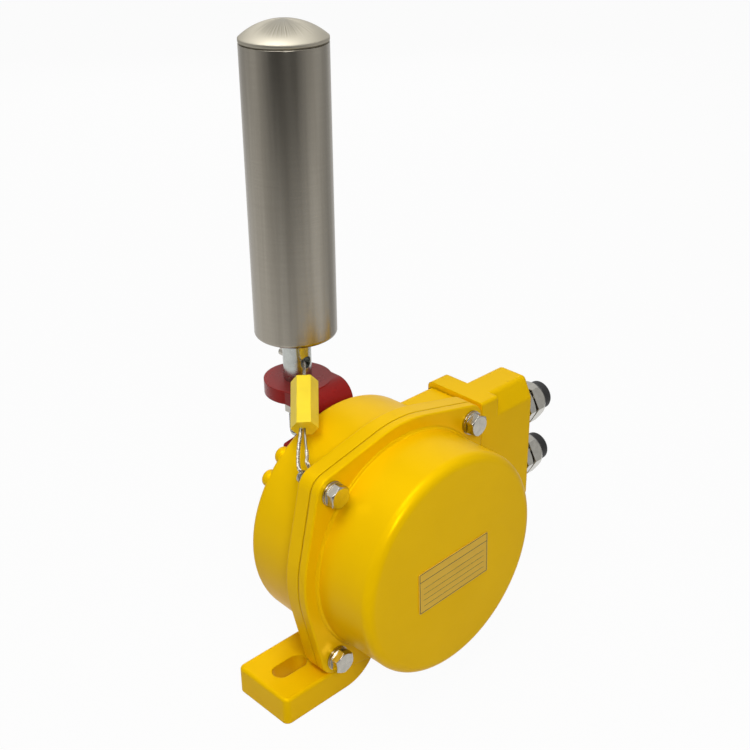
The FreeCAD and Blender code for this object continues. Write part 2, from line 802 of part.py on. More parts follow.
def make_lever_arm():
    """Bent lever: hub and wings in a plate behind the drum, a bend at the top, and a ring for the rod."""
    wing = lever_wing_half
    neck = lever_neck_half
    bend_z = lever_top - lever_bend
    reach = math.hypot(wing, lever_wing_low)
    turn = math.atan2(lever_wing_low, wing) - math.acos(lever_hub_radius / reach)
    side = (lever_hub_radius * math.cos(turn), lever_hub_radius * math.sin(turn))
    right = [(side[0], side[1], 0), (wing, lever_wing_low, lever_corner),
             (wing, lever_wing_top, lever_corner), (neck, lever_shoulder, lever_shoulder_round),
             (neck, bend_z, 0)]
    left = [(-u, v, r) for u, v, r in reversed(right)]
    plate = rounded_face(right + left, lambda u, v: V(u, lever_front_y, axis_z + v))
    plate = plate.extrude(V(0, lever_thick, 0))
    hub = cyl_y(lever_hub_radius, 0, axis_z, lever_front_y, lever_back_y + lever_hub_stand)
    low = cyl_y(lever_hub_radius, 0, axis_z, lever_front_y, lever_back_y)
    bend_y = lever_front_y + lever_bend
    inner = lever_bend - lever_thick

    def bend_point(radius, angle):
        a = math.radians(angle)
        return V(-neck, bend_y - radius * math.cos(a), axis_z + bend_z + radius * math.sin(a))

    edges = [Part.Arc(*[bend_point(lever_bend, a) for a in (0, 45, 90)]),
             Part.LineSegment(bend_point(lever_bend, 90), bend_point(inner, 90)),
             Part.Arc(*[bend_point(inner, a) for a in (90, 45, 0)]),
             Part.LineSegment(bend_point(inner, 0), bend_point(lever_bend, 0))]
    bend = Part.Face(Part.Wire([e.toShape() for e in edges])).extrude(V(2 * neck, 0, 0))
    tab = block(-neck, neck, bend_y, roller_y, ring_low_z, ring_top_z)
    eye = cyl_z(ring_radius, 0, roller_y, ring_low_z, ring_top_z)
    arm = join([plate, low, hub, bend, tab, eye])
    arm = arm.cut(cyl_z(rod_stud_radius + screw_gap, 0, roller_y, ring_low_z - 1, ring_top_z + 1))
    seat = cyl_y(shaft_radius + screw_gap, 0, axis_z, lever_front_y - 1, lever_back_y + lever_hub_stand + 1)
    flats = block(-stud_flat - screw_gap, stud_flat + screw_gap, lever_front_y - 1,
                  lever_back_y + lever_hub_stand + 1, axis_z - half_pitch, axis_z + half_pitch)
    return arm.cut(seat.common(flats))


def make_rod_parts():
    x, y = 0, roller_y
    nut_top = ring_low_z - rod_washer
    top = bearing_high_z + bearing_width + circlip_thick + rod_over
    rod = join([cyl_z(rod_radius, x, y, ring_top_z, bearing_low_z),
                cyl_z(journal_radius, x, y, bearing_low_z, top)])
    stud = cyl_z(rod_stud_radius, x, y, rod_stud_low_z, ring_top_z)
    tip = [e for e in stud.Edges if abs(e.CenterOfMass.z - rod_stud_low_z) < 1e-6]
    rod = join([rod, stud.makeFillet(rod_stud_tip, tip)])
    groove_z = bearing_high_z + bearing_width
    groove_end = groove_z + circlip_thick
    groove = ring_z(journal_radius + 1, journal_radius - circlip_groove, x, y, groove_z, groove_end)
    rod = rod.cut(groove)
    hole = cyl_y(rod_hole_radius, 0, rod_hole_z, y - rod_radius - 1, y + rod_radius + 1)
    save("roller_rod", rod.cut(hole))
    clip = ring_z(circlip_radius, journal_radius - circlip_groove, x, y, groove_z, groove_end)
    mouth = block(-circlip_mouth, circlip_mouth, y, y + circlip_radius + 1, groove_z - 1, groove_end + 1)
    clip = clip.cut(mouth)
    save("rod_circlip", clip)
    washer = ring_z(rod_washer_radius, rod_stud_radius + screw_gap, x, y, nut_top, ring_low_z)
    slit = block(0, rod_washer_radius + 1, y - washer_slit / 2, y + washer_slit / 2,
                 nut_top - 1, ring_low_z + 1)
    save("rod_spring_washer", washer.cut(slit))
    nut_low = nut_top - rod_nut_height
    nut = crowned_hex(rod_nut_flats, V(x, y, nut_top), V(x, y, nut_low), V(1, 0.4, 0))
    save("rod_nut", nut.cut(cyl_z(rod_stud_radius + screw_gap, x, y, nut_low - 1, nut_top + 1)))
    inner = [ring_z(bearing_inner_radius, journal_radius, x, y, z, z + bearing_width)
             for z in (bearing_low_z, bearing_high_z)]
    save("bearing_inner_rings", Part.makeCompound(inner))


def make_roller_parts():
    x, y = 0, roller_y
    bore = roller_radius - roller_wall
    shell = turned([(bore, roller_low_z, 0), (roller_radius, roller_low_z, roller_low_edge),
                    (roller_radius, roller_rim_z, trim_edge / 2), (bore, roller_rim_z, 0)], x, y, "z")
    save("roller_tube", shell)
    low_top = bearing_low_z + bearing_width + end_cap_over
    low_face = roller_low_z + end_cap_inset
    low_bore = rod_radius + end_cap_gap
    low_cap = turned([(low_bore, low_face, trim_edge), (bore, low_face, 0), (bore, low_top, 0),
                      (bearing_radius, low_top, 0), (bearing_radius, bearing_low_z, 0),
                      (low_bore, bearing_low_z, 0)], x, y, "z")
    save("roller_lower_cap", low_cap)
    cap_low = bearing_high_z - end_cap_over
    seat_top = bearing_high_z + bearing_width
    rim = roller_rim_z + roller_groove
    hollow_top = seat_top + dome_hollow
    groove_radius = roller_radius - groove_depth
    top_cap = turned([(0, hollow_top, 0), (dome_hollow_radius, hollow_top, 0),
                      (dome_hollow_radius, seat_top, 0), (bearing_radius, seat_top, 0),
                      (bearing_radius, cap_low, 0), (bore, cap_low, 0),
                      (bore, roller_rim_z, 0), (groove_radius, roller_rim_z, 0), (groove_radius, rim, 0),
                      (roller_radius, rim, trim_edge / 2), (roller_radius, roller_top_z, 0),
                      (0, roller_top_z, 0)], x, y, "z")
    ball = (roller_radius ** 2 + dome_rise ** 2) / (2 * dome_rise)
    below = cyl_z(roller_radius + 1, x, y, cap_low, dome_edge_z - dome_rise)
    crown = Part.makeSphere(ball, V(x, y, roller_top_z - ball)).fuse(below)
    save("roller_dome", top_cap.common(crown))
    shells = []
    for z in (bearing_low_z, bearing_high_z):
        ring = ring_z(bearing_radius, bearing_outer_bore, x, y, z, z + bearing_width)
        for s in (z + shield_inset, z + bearing_width - shield_inset - shield_thick):
            shield = ring_z(bearing_outer_bore + shield_seat, bearing_inner_radius + run_gap, x, y,
                            s, s + shield_thick)
            ring = join([ring, shield])
        shells.append(ring)
    save("bearing_outer_rings", Part.makeCompound(shells))


def make_cam(half_angle, middle_y):
    disc = cyl_y(cam_radius, 0, axis_z, middle_y - cam_width / 2, middle_y + cam_width / 2)
    low = cam_radius - cam_notch
    a = math.radians(half_angle)
    floor = cyl_y(low, 0, axis_z, middle_y - cam_width, middle_y + cam_width)
    out = 2 * cam_radius
    front = middle_y - cam_width
    side = out * math.sin(a)
    high = axis_z + out * math.cos(a)
    corners = [V(0, front, axis_z), V(-side, front, high), V(side, front, high), V(0, front, axis_z)]
    wedge = Part.Face(Part.makePolygon(corners)).extrude(V(0, 2 * cam_width, 0))
    disc = disc.cut(wedge.cut(floor))
    hub = cyl_y(cam_hub_radius, 0, axis_z, middle_y - cam_width / 2 - cam_hub_width, middle_y)
    screw_y = middle_y - cam_width / 2 - cam_hub_width / 2
    bore = cyl_y(shaft_radius + run_gap, 0, axis_z, middle_y - 3 * cam_width, middle_y + 3 * cam_width)
    cam = join([disc, hub]).cut(bore)
    cam = cam.cut(cyl_z(set_screw_radius + screw_gap, 0, screw_y, axis_z - cam_hub_radius - 1, axis_z))
    screw = cyl_z(set_screw_radius, 0, screw_y, axis_z - cam_hub_radius, axis_z - shaft_radius - run_gap)
    return cam, screw


def make_cams():
    alarm, alarm_screw = make_cam(alarm_half_angle, alarm_cam_y)
    stop, stop_screw = make_cam(stop_half_angle, stop_cam_y)
    save("alarm_cam", alarm)
    save("stop_cam", stop)
    save("cam_set_screws", Part.makeCompound([alarm_screw, stop_screw]))


def make_sensors():
    low = axis_z + cam_radius + sensor_air
    case_low = low + sensor_nose
    half = sensor_length / 2
    holes = [(s * sensor_screw_pitch / 2, case_low + sensor_screw_lift) for s in (-1, 1)]
    for name, middle_y in (("alarm", alarm_cam_y), ("stop", stop_cam_y)):
        y0 = middle_y - sensor_thick / 2
        y1 = middle_y + sensor_thick / 2
        case = block(-half, half, y0, y1, case_low, case_low + sensor_height)
        nose = cyl_z(sensor_nose_radius, 0, middle_y, low, case_low)
        top = case_low + sensor_height
        blades = [block(x - blade_half, x + blade_half, middle_y - blade_width / 2,
                        middle_y + blade_width / 2, top - 1, top + blade_reach)
                  for x in (blade_edge - half, 0, half - blade_edge)]
        case = join([case, nose] + blades)
        for x, z in holes:
            case = case.cut(cyl_y(sensor_screw_radius + screw_gap, x, z, y0 - 1, y1 + 1))
        save(name + "_sensor", case)
    front = stop_cam_y - sensor_thick / 2
    screws = []
    spacers = []
    for x, z in holes:
        shank = cyl_y(sensor_screw_radius, x, z, front, bracket_face_y + bracket_thick)
        screws.append(join([shank, cyl_y(2 * sensor_screw_radius, x, z, front - sensor_screw_head, front)]))
        for start, end in ((stop_cam_y + sensor_thick / 2, alarm_cam_y - sensor_thick / 2),
                           (alarm_cam_y + sensor_thick / 2, bracket_face_y)):
            spacers.append(ring_y(sensor_spacer_radius, sensor_screw_radius + screw_gap, x, z, start, end))
    save("sensor_screws", Part.makeCompound(screws))
    save("sensor_spacers", Part.makeCompound(spacers))
    half = bracket_width / 2
    low_z = axis_z + bracket_low
    high_z = axis_z + bracket_high
    sheet_back = bracket_face_y + bracket_thick
    corners = [(-half, low_z, bracket_corner), (half, low_z, bracket_corner),
               (half, high_z, bracket_corner), (-half, high_z, bracket_corner)]
    sheet = rounded_face(corners, lambda u, v: V(u, bracket_face_y, v)).extrude(V(0, bracket_thick, 0))
    for x, z in holes:
        sheet = sheet.cut(cyl_y(sensor_screw_radius + screw_gap, x, z, bracket_face_y - 1, sheet_back + 1))
    fixings = []
    for x, z in post_places():
        sheet = sheet.cut(cyl_y(m4_radius + screw_gap, x, z, bracket_face_y - 1, sheet_back + 1))
        head = cyl_y(m4_head_radius, x, z, bracket_face_y - bracket_screw_head, bracket_face_y)
        fixings.append(join([head, cyl_y(m4_radius, x, z, bracket_face_y, sheet_back)]))
    save("sensor_bracket", sheet)
    save("bracket_screws", Part.makeCompound(fixings))


def make_return_parts():
    """Driver, pins and the two-legged spring that brings the lever back to the middle."""
    back = driver_front_y + driver_width
    disc = cyl_y(driver_radius, 0, axis_z, driver_front_y, back)
    lug = block(-driver_lug_half, driver_lug_half, driver_front_y, back, axis_z - driver_lug_reach, axis_z)
    driver = join([disc, lug]).cut(cyl_y(shaft_radius + run_gap, 0, axis_z, driver_front_y - 1, back + 1))
    save("return_driver", driver)
    pin_end = boss_inner_y - bush_collar - pin_gap
    save("driver_pin", cyl_y(pin_radius, 0, axis_z - driver_pin_orbit, back, pin_end))
    save("anchor_pin", cyl_y(pin_radius, 0, axis_z - anchor_pin_orbit, back + anchor_pin_gap, inner_wall_y))
    reach = math.degrees(math.asin((driver_lug_half + pin_radius + stop_pin_gap) / stop_pin_orbit))
    pins = []
    for side in (-1, 1):
        angle = math.radians(travel_limit + reach)
        x = side * stop_pin_orbit * math.sin(angle)
        z = axis_z - stop_pin_orbit * math.cos(angle)
        pins.append(cyl_y(pin_radius, x, z, driver_front_y, inner_wall_y))
    save("stop_pins", Part.makeCompound(pins))
    start_y = back + spring_stand
    height = spring_turns * spring_pitch
    helix = Part.makeHelix(spring_pitch, height, spring_coil_radius)
    profile = Part.Wire(Part.makeCircle(spring_wire_radius, V(spring_coil_radius, 0, 0), V(0, 1, 0)))
    coil = Part.Wire(helix.Edges).makePipeShell([profile], True, True)
    coil.rotate(V(0, 0, 0), V(1, 0, 0), -90)
    coil.translate(V(0, start_y, axis_z))
    coil.rotate(V(0, 0, axis_z), V(0, 1, 0), 90)
    side = pin_radius + face_gap + spring_wire_radius
    low = axis_z - spring_leg_reach
    legs = []
    for s, y in ((-1, start_y), (1, start_y + height)):
        rise = math.sqrt(spring_coil_radius ** 2 - side ** 2)
        legs.append(cyl(spring_wire_radius, V(s * side, y, axis_z - rise), V(s * side, y, low)))
    save("return_spring", join([coil] + legs))


def make_inside_fittings():
    half = block_length / 2
    front = inner_wall_y - block_depth
    strip = block(-half, half, front, inner_wall_y, axis_z - block_low, axis_z - block_high)
    middle = axis_z - (block_low + block_high) / 2
    screws = []
    way = block_length / block_ways
    for i in range(block_ways):
        x = way * (i + 0.5) - half
        strip = strip.cut(cyl_y(block_screw_radius + screw_gap, x, middle,
                                front - 1, front + block_screw_deep))
        strip = strip.cut(cyl_z(block_wire_radius, x, front + block_wire_deep, axis_z - block_low - 1,
                                axis_z - block_high + 1))
        screws.append(cyl_y(block_screw_radius, x, middle,
                            front + block_screw_sink, front + block_screw_deep))
    save("terminal_block", strip)
    save("terminal_screws", Part.makeCompound(screws))
    z = axis_z - earth_drop
    seat = inner_wall_y - earth_washer
    head = crowned_hex(earth_flats, V(earth_x, seat, z), V(earth_x, seat - earth_head, z), V(1, 0, 0))
    washer = cyl_y(earth_washer_radius, earth_x, z, seat, inner_wall_y)
    save("earth_screw", join([head, washer]))


def rounded_path(points, radius):
    """A line through points whose inner corners are turned into tangent arcs."""
    edges = []
    here = points[0]
    for i in range(1, len(points) - 1):
        corner = points[i]
        back = points[i - 1] - corner
        ahead = points[i + 1] - corner
        back.normalize()
        ahead.normalize()
        half = back.getAngle(ahead) / 2
        run = radius / math.tan(half)
        middle = back + ahead
        middle.normalize()
        centre_run = radius / math.sin(half) - radius
        enter = corner + back * run
        leave = corner + ahead * run
        edges.append(Part.LineSegment(here, enter).toShape())
        edges.append(Part.Arc(enter, corner + middle * centre_run, leave).toShape())
        here = leave
    edges.append(Part.LineSegment(here, points[-1]).toShape())
    return Part.Wire(edges)


def tube(points, bend, radius):
    path = rounded_path(points, bend)
    start = points[0]
    profile = Part.Wire(Part.makeCircle(radius, start, points[1] - points[0]))
    return path.makePipeShell([profile], True, True)


def make_seal():
    """Hexagonal wire seal: one strand through the rod, one loop round the tail of a cover bolt."""
    body = hex_prism(seal_flats, seal_low, seal_high, seal_view)
    save("seal_body", body)
    lead = seal_low - bolt_tail
    lead.normalize()
    out = V(bolt_tail.x, 0, bolt_tail.z - axis_z)
    out = out - lead * out.dot(lead)
    out.normalize()
    turn = bolt_tail - lead * (loop_shift + loop_offset)
    start = seal_low + out * strand_half
    end = seal_low - out * strand_half
    route = [start, turn + out * loop_offset, turn - out * loop_offset, end]
    loop = tube(route, loop_offset * 0.9, cable_radius)
    save("seal_loop", loop.cut(body))
    front = V(0, roller_y - rod_radius, rod_hole_z)
    back = V(0, roller_y + rod_radius + face_gap, rod_hole_z)
    save("seal_strand", tube([seal_high, front, back], strand_bend, cable_radius).cut(body))
    ferrule = cyl_y(ferrule_radius, 0, rod_hole_z, back.y, back.y + ferrule_length)
    save("seal_ferrule", ferrule)


save("body_shell", make_body_shell())
save("front_cover", make_front_cover())
save("cover_gasket", make_cover_gasket())
make_cover_fasteners()
save("name_plate", make_name_plate())
save("terminal_box", make_terminal_box())
save("terminal_box_gasket", make_box_gasket())
save("terminal_box_screws", make_box_screws())
for gland, height in gland_heights.items():
    make_gland(gland, height)
make_shaft_parts()
save("lever_arm", make_lever_arm())
make_rod_parts()
make_roller_parts()
make_cams()
make_sensors()
make_return_parts()
make_inside_fittings()
make_seal()
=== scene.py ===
import math

import bpy
from mathutils import Matrix, Vector


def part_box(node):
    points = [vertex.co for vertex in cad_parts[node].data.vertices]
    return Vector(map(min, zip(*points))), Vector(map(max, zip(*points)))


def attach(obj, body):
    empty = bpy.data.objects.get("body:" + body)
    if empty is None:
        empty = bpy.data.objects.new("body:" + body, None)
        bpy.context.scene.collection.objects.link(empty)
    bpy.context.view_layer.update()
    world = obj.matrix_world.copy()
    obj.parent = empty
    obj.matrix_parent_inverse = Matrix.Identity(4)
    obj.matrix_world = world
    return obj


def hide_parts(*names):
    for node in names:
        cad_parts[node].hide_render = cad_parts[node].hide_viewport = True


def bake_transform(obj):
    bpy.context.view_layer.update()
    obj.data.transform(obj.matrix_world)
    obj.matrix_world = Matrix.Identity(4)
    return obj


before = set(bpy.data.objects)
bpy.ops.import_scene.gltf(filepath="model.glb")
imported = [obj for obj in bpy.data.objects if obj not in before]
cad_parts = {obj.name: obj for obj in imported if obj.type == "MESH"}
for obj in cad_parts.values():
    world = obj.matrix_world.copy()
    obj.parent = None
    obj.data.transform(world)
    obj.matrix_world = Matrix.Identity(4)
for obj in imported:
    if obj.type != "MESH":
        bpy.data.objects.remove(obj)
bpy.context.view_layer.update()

# Places and sizes repeated from the part's source, in metres
axis_z = 0.0675
bolt_x = 0.045
bolt_tail_y = (-0.0052, 0.0014)
bolt_radius, bolt_pitch = 0.003, 0.001
rod_y = 0.055
rod_radius = 0.007
stud_radius, stud_pitch = 0.005, 0.0015

# Level directions from the roller to the camera, and to the left as the camera sees it
camera_side = Vector((-0.6924, -0.7215, 0))
leftward = Vector((camera_side.y, -camera_side.x, 0))


def srgb(*channels):
    """Linear colour from channels of 0 to 255."""
    out = []
    for c in channels:
        c /= 255
        out.append(c / 12.92 if c < 0.04045 else ((c + 0.055) / 1.055) ** 2.4)
    return out


class Nodes:
    """Short calls for building a node tree."""

    def __init__(self, tree):
        self.tree = tree

    def feed(self, value, socket):
        """Links a node's output to the socket, or sets a number, a vector or a colour there."""
        if isinstance(value, bpy.types.NodeSocket):
            self.tree.links.new(value, socket)
        elif socket.type == "RGBA":
            socket.default_value = (*value, 1)
        else:
            socket.default_value = value

    def add(self, kind, values=None, **settings):
        node = self.tree.nodes.new(kind)
        for key, value in settings.items():
            setattr(node, key, value)
        for key, value in (values or {}).items():
            self.feed(value, node.inputs[key])
        return node

    def calc(self, operation, first, second):
        return self.add("ShaderNodeMath", {0: first, 1: second}, operation=operation).outputs[0]

    def remap(self, value, low, high, start=0.0, end=1.0):
        """Takes start to end over to low to high."""
        values = {"Value": value, "From Min": start, "From Max": end, "To Min": low, "To Max": high}
        return self.add("ShaderNodeMapRange", values).outputs["Result"]

    def mix(self, factor, a, b):
        return self.add("ShaderNodeMix", {0: factor, 6: a, 7: b}, data_type="RGBA").outputs[2]

    def bearing(self, x, y):
        return self.calc("ARCTAN2", y, x)

    def distance(self, place):
        return self.add("ShaderNodeVectorMath", {0: place}, operation="LENGTH").outputs["Value"]

    def grey_ramp(self, factor, stops):
        """Grey that follows pairs of place and brightness."""
        node = self.add("ShaderNodeValToRGB", {0: factor})
        ramp = node.color_ramp
        for place, grey in stops[2:]:
            ramp.elements.new(place)
        for element, (place, grey) in zip(sorted(ramp.elements, key=lambda e: e.position), sorted(stops)):
            element.position = place
            element.color = (grey, grey, grey, 1)
        return node.outputs[0]

    def seen_ray(self):
        """One where the camera, a reflection or light that passes through glass looks, else zero."""
        path = self.add("ShaderNodeLightPath").outputs
        value = path["Is Camera Ray"]
        for kind in ("Is Glossy Ray", "Is Transmission Ray"):
            value = self.calc("MAXIMUM", value, path[kind])
        return value


class Surface(Nodes):
    """A node material with short calls for the nodes that every finish here uses."""

    def __init__(self, name, **sockets):
        self.material = bpy.data.materials.new(name)
        self.material.use_nodes = True
        super().__init__(self.material.node_tree)
        self.shader = self.tree.nodes["Principled BSDF"]
        for key, value in sockets.items():
            self.to(value, key.replace("_", " "))
        self.coords = self.add("ShaderNodeTexCoord").outputs["Object"]

    def to(self, value, socket):
        self.feed(value, self.shader.inputs[socket])

    def noise(self, size, detail=2.0, rough=0.5, stretch=(1, 1, 1)):
        """Noise whose blobs are about size metres across."""
        scaled = self.add("ShaderNodeMapping", {"Vector": self.coords, "Scale": [s / size for s in stretch]})
        values = {"Vector": scaled.outputs["Vector"], "Scale": 1.0, "Detail": detail, "Roughness": rough}
        return self.add("ShaderNodeTexNoise", values).outputs["Fac"]

    def bump(self, layers, soften=0.0):
        """Stacks (height, strength, depth) layers over a normal that can soften sharp edges."""
        normal = None
        if soften:
            normal = self.add("ShaderNodeBevel", {"Radius": soften}, samples=6).outputs["Normal"]
        for height, strength, depth in layers:
            values = {"Height": height, "Strength": strength, "Distance": depth}
            if normal:
                values["Normal"] = normal
            normal = self.add("ShaderNodeBump", values).outputs["Normal"]
        self.to(normal, "Normal")


def paint(name, colour, dark, tint, rough=0.3, peel=0.5, soften=0.0009, shine=0.3, metal=0.0):
    """Sprayed enamel on a casting: orange peel, a soft cast swell and slightly uneven colour."""
    s = Surface(name, Roughness=rough, Metallic=metal, Specular_IOR_Level=shine, Specular_Tint=tint)
    s.to(s.mix(s.remap(s.noise(0.03, 3), 0, 0.55, 0.35, 0.7), colour, dark), "Base Color")
    s.to(s.remap(s.noise(0.009, 3), rough - 0.05, rough + 0.09), "Roughness")
    s.bump([(s.noise(0.014, 2), 0.16, 0.0006), (s.noise(0.0013, 1.5), peel, 0.00005)], soften)
    return s.material


def steel(name, colour, rough, grain=(1, 1, 1), size=0.0006, depth=0.00002, soften=0.0003, spread=0.08):
    """Plated or ground steel: a fine mottle in colour, sheen and height."""
    s = Surface(name, Metallic=1.0, Roughness=rough)
    mottled = s.noise(size * 6, 4, 0.6, grain)
    s.to(s.mix(s.remap(mottled, 0, 1, 0.3, 0.75), colour, [c * 0.78 for c in colour]), "Base Color")
    s.to(s.remap(s.noise(size * 2.5, 3, 0.6, grain), rough - spread, rough + spread), "Roughness")
    s.bump([(s.noise(size, 2, 0.5, grain), 0.5, depth)], soften)
    return s.material


def plastic(name, colour, rough, size=0.0008, depth=0.00003, soften=0.0003, shine=0.5, tint=(1, 1, 1)):
    """Moulded plastic or rubber with a fine grain."""
    s = Surface(name, Roughness=rough, Specular_IOR_Level=shine, Specular_Tint=tint)
    uneven = s.remap(s.noise(0.008, 3), 0, 0.5, 0.35, 0.7)
    s.to(s.mix(uneven, colour, [c * 0.82 for c in colour]), "Base Color")
    s.to(s.remap(s.noise(0.003, 3), rough - 0.06, rough + 0.08), "Roughness")
    s.bump([(s.noise(size, 2), 0.5, depth)], soften)
    return s.material


def brushed_tube():
    """Satin stainless tube: fine rings left by the polishing belt, with faint lengthwise marks."""
    s = Surface("brushed_stainless", Metallic=1.0, Roughness=0.3)
    rings = s.noise(0.02, 4, 0.65, (1, 1, 90))
    streaks = s.noise(0.005, 3, 0.55, (1, 1, 0.03))
    base = s.mix(s.remap(rings, 0, 1, 0.3, 0.7), srgb(166, 160, 148), srgb(156, 150, 138))
    s.to(s.mix(s.remap(streaks, 0, 0.7, 0.35, 0.75), base, srgb(134, 128, 117)), "Base Color")
    s.to(s.remap(rings, 0.21, 0.27, 0.3, 0.7), "Roughness")
    s.bump([(rings, 0.12, 0.00001), (streaks, 0.1, 0.00003)], 0.0003)
    return s.material


def turned_dome():
    """The same steel, turned: narrow spokes of painted sheen, light and dark steel in the colour, spread out
    from the middle and fade towards the edge.
    """
    spokes_per_radian = 26.0
    fade_start, fade_end = 0.011, 0.017
    s = Surface("turned_stainless", Metallic=1.0, Roughness=0.3, Anisotropic=0.7)
    s.to(s.add("ShaderNodeTangent", direction_type="RADIAL", axis="Z").outputs["Tangent"], "Tangent")
    place = s.add("ShaderNodeSeparateXYZ", {0: s.coords}).outputs
    across = s.calc("SUBTRACT", place["Y"], rod_y)
    values = {"W": s.bearing(place["X"], across), "Scale": spokes_per_radian, "Detail": 2.0}
    spokes = s.add("ShaderNodeTexNoise", values, noise_dimensions="1D").outputs["Fac"]
    level = s.add("ShaderNodeCombineXYZ", {"X": place["X"], "Y": across}).outputs[0]
    fade = s.remap(s.distance(level), 0.25, 1, fade_start, fade_end)
    sheen_spokes = s.add("ShaderNodeMix", {0: fade, 2: spokes, 3: 0.5}, data_type="FLOAT").outputs[0]
    # Painted sheen: the spokes mix a light and a dark steel into the colour; they also vary the roughness
    # and the bump.
    s.to(s.mix(s.remap(sheen_spokes, 0, 1, 0.35, 0.65), srgb(204, 198, 182), srgb(140, 134, 120)), "Base Color")
    s.to(s.remap(sheen_spokes, 0.37, 0.5, 0.3, 0.7), "Roughness")
    s.bump([(sheen_spokes, 0.3, 0.00012)], 0.0008)
    return s.material


def braid(name):
    """Fine galvanised wire rope, with painted glints and painted yellowish shade as a fine speckle in the
    colour.
    """
    s = Surface(name, Metallic=0.9, Roughness=0.34)
    fine = s.noise(0.0006, 2)
    # Painted glints and shade: the speckle mixes near-white and dark yellow-brown into the colour.
    s.to(s.mix(s.remap(fine, 0, 1, 0.35, 0.65), srgb(255, 253, 245), srgb(110, 100, 72)), "Base Color")
    s.to(s.remap(fine, 0.26, 0.44), "Roughness")
    s.bump([(fine, 0.4, 0.00006)])
    return s.material


def plate_enamel():
    """Bare printed plate with a faint lengthwise grain."""
    s = Surface("plate_enamel", Roughness=0.4, Specular_IOR_Level=0.2)
    uneven = s.remap(s.noise(0.006, 3), 0, 0.4, 0.35, 0.7)
    s.to(s.mix(uneven, [0.84, 0.52, 0.04], [0.76, 0.46, 0.03]), "Base Color")
    s.bump([(s.noise(0.0004, 2, 0.5, (1, 1, 8)), 0.3, 0.00002)], 0.0002)
    return s.material


yellow = paint("yellow_enamel", [0.93, 0.565, 0.001], [0.88, 0.525, 0.001], (1, 0.74, 0.04), shine=0.05,
               metal=0.12)
red = paint("red_enamel", [0.31, 0.013, 0.012], [0.23, 0.010, 0.009], (1, 0.35, 0.3), rough=0.27,
            peel=0.35, soften=0.0006)
rubber = plastic("black_rubber", srgb(26, 26, 26), 0.55)
dark_plastic = plastic("dark_plastic", srgb(40, 42, 45), 0.45)
white_plastic = plastic("white_plastic", srgb(222, 220, 212), 0.4)
seal_yellow = plastic("seal_yellow", [0.95, 0.70, 0.025], 0.3, size=0.0015, depth=0.00002, shine=0.4,
                      tint=(1, 0.85, 0.2))
line_ink = plastic("plate_line", srgb(70, 52, 20), 0.5)
zinc = steel("zinc_plate", srgb(188, 184, 174), 0.2)
rod_zinc = steel("rod_zinc", srgb(190, 193, 188), 0.24, size=0.0009, depth=0.00005, spread=0.12)
nickel = steel("nickel_plate", srgb(190, 187, 178), 0.16)
ground_steel = steel("ground_steel", srgb(170, 170, 168), 0.32, grain=(1, 6, 1))
thread_steel = steel("thread_steel", srgb(98, 93, 84), 0.4)
bronze = steel("bronze", srgb(168, 124, 70), 0.4)
pin_steel = steel("pin_steel", srgb(150, 148, 138), 0.3)
stainless = brushed_tube()
dome = turned_dome()
rope = braid("wire_rope")
plate = plate_enamel()

finishes = {
    "body_shell": yellow, "front_cover": yellow, "terminal_box": yellow, "lever_arm": red,
    "cover_gasket": rubber, "terminal_box_gasket": rubber, "shaft_lip_seal": rubber,
    "upper_gland_rubber": rubber, "lower_gland_rubber": rubber, "name_plate": plate,
    "upper_gland_body": nickel, "upper_gland_nut": nickel, "lower_gland_body": nickel,
    "lower_gland_nut": nickel, "front_shaft_bush": bronze, "rear_shaft_bush": bronze,
    "roller_tube": stainless, "roller_dome": dome, "roller_lower_cap": white_plastic,
    "roller_rod": rod_zinc, "seal_body": seal_yellow, "seal_ferrule": zinc, "seal_loop": rope,
    "seal_strand": rope, "alarm_sensor": dark_plastic, "stop_sensor": dark_plastic,
    "terminal_block": dark_plastic, "sensor_spacers": dark_plastic,
    "cover_bolts": zinc, "cover_spring_washers": zinc, "cover_flat_washers": zinc,
    "terminal_box_screws": zinc, "lever_washer": zinc, "lever_nut": zinc, "rod_nut": zinc,
    "rod_spring_washer": zinc, "sensor_screws": zinc, "bracket_screws": zinc, "terminal_screws": zinc,
    "earth_screw": zinc, "cam_set_screws": zinc,
}
for name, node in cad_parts.items():
    node.data.materials.clear()
    node.data.materials.append(finishes.get(name, ground_steel))


def mesh_piece(name, verts, faces, material, body, smooth=True):
    """A mesh object that rides the body, where one is given."""
    data = bpy.data.meshes.new(name)
    data.from_pydata([tuple(v) for v in verts], [], faces)
    data.update()
    data.materials.append(material)
    obj = bpy.data.objects.new(name, data)
    bpy.context.scene.collection.objects.link(obj)
    for polygon in data.polygons:
        polygon.use_smooth = smooth
    if body:
        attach(obj, body)
    return obj


def thread(name, start, end, radius, pitch, material, body, depth=0.00022):
    """A helical thread sleeve standing just proud of the plain shank from start to end."""
    steps = 28
    run_out = 1.5
    profile = ((0.0, -0.3), (0.28, 1.0), (0.42, 1.0), (0.7, -0.3))
    start = Vector(start)
    axis = Vector(end) - start
    length = axis.length
    axis.normalize()
    side = axis.orthogonal().normalized()
    up = axis.cross(side)
    total = max(2, int(length / pitch)) * steps
    verts = []
    for i in range(total + 1):
        angle = 2 * math.pi * i / steps
        along = (length - pitch) * i / total
        ray = side * math.cos(angle) + up * math.sin(angle)
        taper = min(1.0, i / steps * run_out, (total - i) / steps * run_out)
        for share, lift in profile:
            reach = radius + depth * (lift * taper if lift > 0 else lift)
            verts.append(start + axis * (along + pitch * share) + ray * reach)
    row = len(profile)
    faces = []
    for i in range(total):
        for a in range(row * i, row * i + row - 1):
            faces.append((a, a + 1, a + row + 1, a + row))
    return mesh_piece(name, verts, faces, material, body, True)


